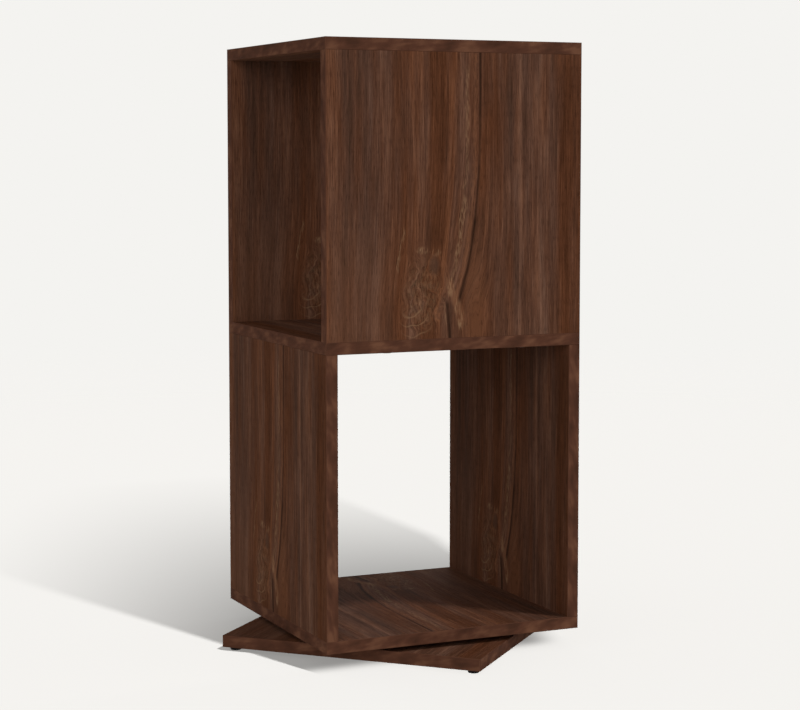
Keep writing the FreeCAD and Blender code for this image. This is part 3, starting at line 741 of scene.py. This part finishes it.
def add_floor_lamp(name, look, near_light, far_light, floor, shadow=True):
    """A near lamp on the floor alone: near_light where the shadow is full, and far_light outside it.

    With its unshaded partner it gives about the same light everywhere, so only the shadow fades.
    """
    lamp = bpy.data.lights.new(name, "POINT")
    lamp.shadow_soft_size = look.floor_lamp_size
    lamp.use_shadow = shadow
    lamp.energy = FLOOR_LAMP_POWER
    lamp.use_nodes = True
    tree = lamp.node_tree
    tree.nodes.clear()
    reach = add(tree, "LightPath")["Ray Length"]
    incoming = add(tree, "NewGeometry")["Incoming"]
    ray = add(tree, "VectorMath", {0: incoming, "Scale": reach}, "SCALE")[0]
    lit_point = add(tree, "VectorMath", [ray, look.floor_lamp], "ADD")[0]
    x, y, _ = add(tree, "SeparateXYZ", [lit_point])[:]

    # The shadow fades to the back, and sooner to its sides.
    aside = add(tree, "Math", [x, look.shadow_middle], "SUBTRACT")[0]
    bend = add(tree, "Math", [aside, aside], "MULTIPLY")[0]
    behind = add(tree, "Math", [bend, look.shadow_bend, y], "MULTIPLY_ADD")[0]
    near = add(tree, "MapRange", [behind, look.shadow_near, look.shadow_far, 1, 0])[0]
    faded = add(tree, "Math", [near, near], "MULTIPLY")[0]

    # Its front and its right border are soft straight lines on the floor.
    front = add(tree, "Math", [x, -look.shadow_slant, y], "MULTIPLY_ADD")[0]
    begun = add(tree, "MapRange", [front, look.shadow_front, look.shadow_full, 0, faded], **SOFT)[0]
    side = add(tree, "Math", [y, -look.shadow_spread, x], "MULTIPLY_ADD")[0]
    depth = add(tree, "MapRange", [side, look.shadow_inside, look.shadow_outside, begun, 0], **SOFT)[0]
    light = add(tree, "MapRange", [depth, 0, 1, far_light, near_light])[0]

    # Light that falls at a slant is made up for, so that the floor is lit evenly.
    steepness = add(tree, "SeparateXYZ", [incoming])["Z"]
    upright = add(tree, "Math", [steepness], "ABSOLUTE")[0]
    even = add(tree, "Math", [light, upright], "DIVIDE")[0]
    strength = add(tree, "LightFalloff", [even])["Constant"]
    emission = add(tree, "Emission", {"Strength": strength})[0]
    add(tree, "OutputLight", [emission])
    link_lamp(name, lamp, floor, "INCLUDE").location = look.floor_lamp


def lay_floor(look):
    """A round pale floor that fades out into the background."""
    material, tree, shader = new_material("Studio floor, matt")
    thrown_up = add(tree, "LightPath")["Is Diffuse Ray"]
    shade = paint(tree, look.floor, thrown_up, look.bounce)
    point = add(tree, "TexCoord")["Object"]
    distance = add(tree, "VectorMath", [point], "LENGTH")["Value"]
    radius = look.floor_radius
    fade = add(tree, "MapRange", [distance, FLOOR_FADE * radius, radius, 1, 0], **SOFT)[0]
    fill(shader, {"Base Color": shade, "Roughness": 1, "Specular IOR Level": 0, "Alpha": fade})
    turns = [2 * math.pi * side / FLOOR_SIDES for side in range(FLOOR_SIDES)]
    corners = [(radius * math.cos(turn), radius * math.sin(turn), 0) for turn in turns]
    mesh = bpy.data.meshes.new("Floor")
    mesh.from_pydata(corners, [], [range(FLOOR_SIDES)])
    mesh.materials.append(material)
    floor = new_object("Floor", mesh)
    return floor


def light_world(look):
    """Even light all round, with the background's colour for what is seen or mirrored."""
    world = bpy.data.worlds.new("Studio")
    world.use_nodes = True
    tree = world.node_tree
    tree.nodes.clear()
    rays = add(tree, "LightPath")
    seen = add(tree, "Math", [rays["Is Camera Ray"], rays["Is Glossy Ray"]], "MAXIMUM")[0]
    shown = add(tree, "Math", [seen, rays["Is Transmission Ray"]], "MAXIMUM")[0]
    light = add(tree, "Background", [(1, 1, 1), look.ambient])[0]
    backdrop = add(tree, "Background", [look.background, 1])[0]
    mixed = add(tree, "MixShader", [shown, light, backdrop])[0]
    add(tree, "OutputWorld", [mixed])
    bpy.context.scene.world = world


def set_camera(look):
    """The camera at the photograph's viewing angle."""
    camera = bpy.data.cameras.new("Camera")
    camera.lens = look.lens
    camera.sensor_width = SENSOR_WIDTH
    camera.shift_y = look.shift
    camera_object = new_object("Camera", camera)
    camera_object.location = look.camera_place
    camera_object.rotation_euler = (math.radians(90) - look.pitch, 0, look.heading)
    bpy.context.scene.camera = camera_object


# Settings

class WalnutLook(bpy.types.PropertyGroup):
    """Colours of the walnut print."""

    grey_dark: colour("Grey dark", "Darkest greyish walnut", "#3A281E")
    grey_mid: colour("Grey", "Greyish walnut", "#563B2F")
    grey_pale: colour("Grey pale", "Palest greyish walnut", "#765747")
    red_dark: colour("Red dark", "Darkest reddish walnut", "#3E2416")
    red_mid: colour("Red", "Reddish walnut", "#5C3724")
    red_pale: colour("Red pale", "Palest reddish walnut", "#7E5138")
    sapwood: colour("Sapwood", "Pale wood beside the split and under the knot", "#7B5038")
    fleck: colour("Fleck", "Palest flecks", "#957356")
    patch: colour("Patch", "Greyish patch beside the knot", "#3F322A")
    split: colour("Split", "Dark line where the grain splits", "#24160F")


class EdgingLook(bpy.types.PropertyGroup):
    """Colours of the edge strips."""

    dark: colour("Dark", "Darkest part of the strip's print", "#452C21")
    mid: colour("Mid", "Usual part of the strip's print", "#543528")
    pale: colour("Pale", "Palest curls of the strip's print", "#6A4735")


class FittingLook(bpy.types.PropertyGroup):
    """Colours of feet, swivel and fasteners."""

    foot: colour("Foot", "Black polypropylene", "#0A0A0A")
    cage: colour("Cage", "Natural nylon", "#DAD5C6")
    cap: colour("Cap", "Brown polyethylene", "#4A2E20")
    zinc: colour("Zinc", "Bright zinc plating", "#B8BCC2")
    zinc_dull: colour("Dull zinc", "Clouded zinc plating", "#9C9C98")
    ball: colour("Ball", "Hardened steel", "#C9CBCE")
    beech: colour("Beech", "Pale beech", "#CDA87E")
    beech_ray: colour("Beech ray", "Rays in the beech", "#A97F55")


class FittingSizes(bpy.types.PropertyGroup):
    """Sizes of the fasteners that the solids don't give."""

    flutes: IntProperty(name="Flutes", description="Flutes round a dowel", default=18, min=3)
    flute_depth: metres("Flute depth", "Depth of a dowel's flutes", 0.3 * MM)
    chamfer: metres("Chamfer", "Chamfer on a dowel's ends", 1 * MM)
    board_pitch: metres("Board pitch", "Pitch of the board screws' thread", 3 * MM)
    plate_pitch: metres("Plate pitch", "Pitch of the plate screws' thread", 1.4 * MM)


class StageLook(bpy.types.PropertyGroup):
    """Floor, light and camera."""

    floor: colour("Floor", "Grey that the floor's lamps light to the background's tone", "#858482")
    bounce: colour("Bounce", "Floor as it throws light up at the bookcase", "#656664")
    background: colour("Background", "What the camera sees past the floor", "#F4F3F0")
    floor_radius: metres("Floor radius", "Where the floor ends", 4)
    key_strength: number("Key light", "Strength of the key light", 1.4, min=0)
    key_size: degrees("Key size", "Angular size of the key light", 6)
    fill_strength: number("Fill light", "Strength of the fill light", 1.15, min=0)
    fill_size: degrees("Fill size", "Angular size of the fill light", 40)
    back_strength: number("Back light", "Strength of the back light", 1.2, min=0)
    back_size: degrees("Back size", "Angular size of the back light", 60)
    floor_light: number("Floor light", "Light on the floor, where 1 lights white to white", 3.55, min=0)
    near_light: number("Near light", "The same in the shadow, before it is shaded", 3.6, min=0)
    floor_shadow: number("Floor shadow", "Part of the near light that the cabinet shades", 2.41, min=0)
    floor_lamp: place_at("Floor lamp", "Place of the floor's lamp", (0.03, -0.85, 1.44))
    floor_lamp_size: metres("Floor lamp size", "Radius of the floor's lamp", 0.018)
    shadow_middle: metres("Shadow middle", "Where across it reaches furthest back", 0.133)
    shadow_bend: number("Shadow bend", "How much sooner it fades to its sides, per square metre", 2.15)
    shadow_near: metres("Shadow near", "Where behind the axis it starts to fade", 0.25)
    shadow_far: metres("Shadow far", "Where behind the axis it ends", 1.5)
    shadow_front: metres("Shadow front", "Where it starts, before the axis", -0.148)
    shadow_full: metres("Shadow full", "Where it is full, before the axis", -0.115)
    shadow_slant: number("Shadow slant", "How far back it starts, per metre to the right", 0.034)
    shadow_inside: metres("Shadow inside", "Where its right border starts to fade", 0.17)
    shadow_outside: metres("Shadow outside", "Where its right border ends", 0.214)
    shadow_spread: number("Shadow spread", "How far right that border runs, per metre back", 0.35)
    ambient: number("Ambient", "Strength of the light all round", 0.35, min=0)
    lens: number("Lens", "Focal length", 91.66, min=1, unit="CAMERA")
    shift: number("Shift", "Upward shift of the lens", -0.05)
    pitch: degrees("Pitch", "Camera below level", 4.57)
    heading: degrees("Heading", "Camera's turn to the left", -24.32)
    camera_place: place_at("Camera", "Place of the camera", (-1.070, -2.372, 0.621))


class BookcaseSettings(bpy.types.PropertyGroup):
    """All settings of the bookcase."""

    walnut: PointerProperty(type=WalnutLook, name="Walnut", description="Print on the boards")
    edging: PointerProperty(type=EdgingLook, name="Edging", description="Print on the edge strips")
    fittings: PointerProperty(type=FittingLook, name="Fittings", description="Feet, swivel and fasteners")
    sizes: PointerProperty(type=FittingSizes, name="Sizes", description="Sizes of the fasteners")
    stage: PointerProperty(type=StageLook, name="Stage", description="Floor, light and camera")


# Operators

class BOOKCASE_OT_boards(bpy.types.Operator):
    """Prints the walnut on the boards of cabinet and base"""

    bl_idname = "bookcase.boards"
    bl_label = "Boards"

    def execute(self, context):
        group = walnut_print(context.scene.bookcase.walnut)
        upright = Matrix.Identity(3)
        laid_back = turned(-90, "X")
        laid_aside = turned(-90, "Y") @ turned(-BASE_ANGLE, "Z")
        upper_start = -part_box("upper_front_panel")[0].z / MM
        lower_start = -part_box("lower_left_panel")[0].z / MM
        for name, boards, turn, start in (
            ("Melamine walnut upper", ("upper_front_panel", "upper_back_panel"), upright, upper_start),
            ("Melamine walnut lower", ("lower_left_panel", "lower_right_panel"), upright, lower_start),
            ("Melamine walnut level", ("top_panel", "middle_shelf", "bottom_panel"), laid_back, PRINT_HALF),
            ("Melamine walnut base", ("base_plate",), laid_aside, PRINT_HALF),
        ):
            give(boards, printed_material(name, group, turn, start))
        return {"FINISHED"}


class BOOKCASE_OT_edging(bpy.types.Operator):
    """Prints the strips on the edges of the boards"""

    bl_idname = "bookcase.edging"
    bl_label = "Edge strips"

    def execute(self, context):
        group = edging_print(context.scene.bookcase.edging)
        turned_back = turned(-BASE_ANGLE, "Z")
        along_x = turned(-90, "Y")
        along_y = turned(90, "X")
        materials = {}
        for way, turn in (
            ("upright", Matrix.Identity(3)),
            ("across", along_x),
            ("deep", along_y),
            ("base across", along_x @ turned_back),
            ("base deep", along_y @ turned_back),
        ):
            materials[way] = printed_material(f"ABS edging {way}", group, turn, 0)
        for name in nodes:
            if not name.endswith("_edging"):
                continue
            low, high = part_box(name)
            way = "across" if name.endswith(("_front_edging", "_back_edging")) else "deep"
            if high.z - low.z > max(high.x - low.x, high.y - low.y):
                way = "upright"
            elif name.startswith("base_plate"):
                way = f"base {way}"
            give([name], materials[way])
        return {"FINISHED"}


class BOOKCASE_OT_feet(bpy.types.Operator):
    """Finishes the feet and the screw caps in moulded plastic"""

    bl_idname = "bookcase.feet"
    bl_label = "Feet and caps"

    def execute(self, context):
        look = context.scene.bookcase.fittings
        feet = [name for name in nodes if name.startswith("foot_")]
        black = plastic_material("Polypropylene, moulded", look.foot, roughness=0.7, texture=0.4, gloss=0.08)
        brown = plastic_material("Polyethylene, moulded", look.cap, roughness=0.55, texture=0.6)
        give(feet, black)
        give(["shelf_screw_caps"], brown)
        return {"FINISHED"}


class BOOKCASE_OT_swivel(bpy.types.Operator):
    """Finishes the swivel's plates, rivet and cage, and sets the balls in it"""

    bl_idname = "bookcase.swivel"
    bl_label = "Swivel"

    def execute(self, context):
        look = context.scene.bookcase.fittings
        plated = plated_material("Steel sheet, zinc-plated", look)
        give(("swivel_lower_plate", "swivel_upper_plate", "pivot_rivet"), plated)
        give(["ball_cage"], plastic_material("Nylon, moulded", look.cage, roughness=0.42, texture=0.5))
        boxes = boxes_of_solids("bearing_balls", BALL_REACH)
        seats = [(low + high) / 2 for low, high in boxes]
        sizes = {"Diameter": boxes[0][1].z - boxes[0][0].z}
        polished = polished_material("Steel, hardened and polished", look.ball)
        set_out("balls", ball_shape(), sizes, seats, polished, "ball_ring", "ball_steel", "bearing_balls")
        return {"FINISHED"}


class BOOKCASE_OT_dowels(bpy.types.Operator):
    """Makes the fluted dowels that join the boards"""

    bl_idname = "bookcase.dowels"
    bl_label = "Dowels"

    def execute(self, context):
        settings = context.scene.bookcase
        replaced = [name for name in nodes if name.endswith("_dowels")]
        boxes = [box for name in replaced for box in boxes_of_solids(name, DOWEL_REACH)]
        seats = [(*(low + high).xy / 2, low.z) for low, high in boxes]
        low, high = boxes[0]
        sizes = {
            "Diameter": high.x - low.x,
            "Length": high.z - low.z,
            "Chamfer": settings.sizes.chamfer,
            "Flutes": float(settings.sizes.flutes),
            "Flute depth": settings.sizes.flute_depth,
        }
        beech = beech_material("Beech, turned", settings.fittings)
        set_out("dowels", dowel_shape(), sizes, seats, beech, "cabinet", "beech_dowel", *replaced)
        return {"FINISHED"}


class BOOKCASE_OT_screws(bpy.types.Operator):
    """Makes the screws that hold the boards and the swivel"""

    bl_idname = "bookcase.screws"
    bl_label = "Screws"

    def execute(self, context):
        settings = context.scene.bookcase
        plated = plated_material("Steel screw, zinc-plated", settings.fittings)
        board_tree = screw_shape("Board screw", BOARD_SCREW, hexagon_socket)
        plate_tree = screw_shape("Plate screw", PLATE_SCREW, cross_slots)
        board = (board_tree, BOARD_SCREW, settings.sizes.board_pitch)
        plate = (plate_tree, PLATE_SCREW, settings.sizes.plate_pitch)
        for name, (tree, lengths, pitch), replaced, body, down in (
            ("board_screws", board, ("shelf_screws", "bottom_screws"), "cabinet", False),
            ("upper_plate_screws", plate, ("cabinet_swivel_screws",), "cabinet", False),
            ("lower_plate_screws", plate, ("base_swivel_screws",), "base", True),
        ):
            boxes = [box for node in replaced for box in boxes_of_solids(node, SCREW_REACH)]
            seats = [(*(low + high).xy / 2, high.z if down else low.z) for low, high in boxes]
            sizes = {size: length * MM for size, length in lengths.items()}
            sizes.update({"Pitch": pitch, "Turned over": math.pi if down else 0.0})
            set_out(name, tree, sizes, seats, plated, body, "zinc_plated_steel", *replaced)
        return {"FINISHED"}


class BOOKCASE_OT_stage(bpy.types.Operator):
    """Lays the floor and sets the light and the camera"""

    bl_idname = "bookcase.stage"
    bl_label = "Stage"

    def execute(self, context):
        look = context.scene.bookcase.stage
        floor = lay_floor(look)
        light_world(look)
        add_sun("Key light", look.key_strength, look.key_size, KEY_AIM, floor)
        add_sun("Fill light", look.fill_strength, look.fill_size, FILL_AIM, floor)
        add_sun("Back light", look.back_strength, look.back_size, BACK_AIM, floor)
        add_floor_lamp("Floor light", look, look.floor_shadow, 0, floor)
        unshaded = look.near_light - look.floor_shadow
        add_floor_lamp("Floor fill", look, unshaded, look.floor_light, floor, shadow=False)
        set_camera(look)
        context.scene.view_settings.view_transform = "Standard"
        return {"FINISHED"}


class BOOKCASE_PT_looks(bpy.types.Panel):
    """Lists the steps that dress the bookcase"""

    bl_label = "Revolving bookcase"
    bl_idname = "BOOKCASE_PT_looks"
    bl_space_type = "VIEW_3D"
    bl_region_type = "UI"
    bl_category = "Bookcase"

    def draw(self, context):
        for operator in OPERATORS:
            self.layout.operator(operator.bl_idname)


SETTINGS = (WalnutLook, EdgingLook, FittingLook, FittingSizes, StageLook, BookcaseSettings)
OPERATORS = (
    BOOKCASE_OT_boards,
    BOOKCASE_OT_edging,
    BOOKCASE_OT_feet,
    BOOKCASE_OT_swivel,
    BOOKCASE_OT_dowels,
    BOOKCASE_OT_screws,
    BOOKCASE_OT_stage,
)
CLASSES = (*SETTINGS, *OPERATORS, BOOKCASE_PT_looks)


def register():
    for cls in CLASSES:
        bpy.utils.register_class(cls)
    bpy.types.Scene.bookcase = PointerProperty(type=BookcaseSettings)


def unregister():
    del bpy.types.Scene.bookcase
    for cls in reversed(CLASSES):
        bpy.utils.unregister_class(cls)


def main():
    """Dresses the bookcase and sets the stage."""
    register()
    bpy.ops.bookcase.boards()
    bpy.ops.bookcase.edging()
    bpy.ops.bookcase.feet()
    bpy.ops.bookcase.swivel()
    bpy.ops.bookcase.dowels()
    bpy.ops.bookcase.screws()
    bpy.ops.bookcase.stage()


if __name__ == "__main__":
    main()
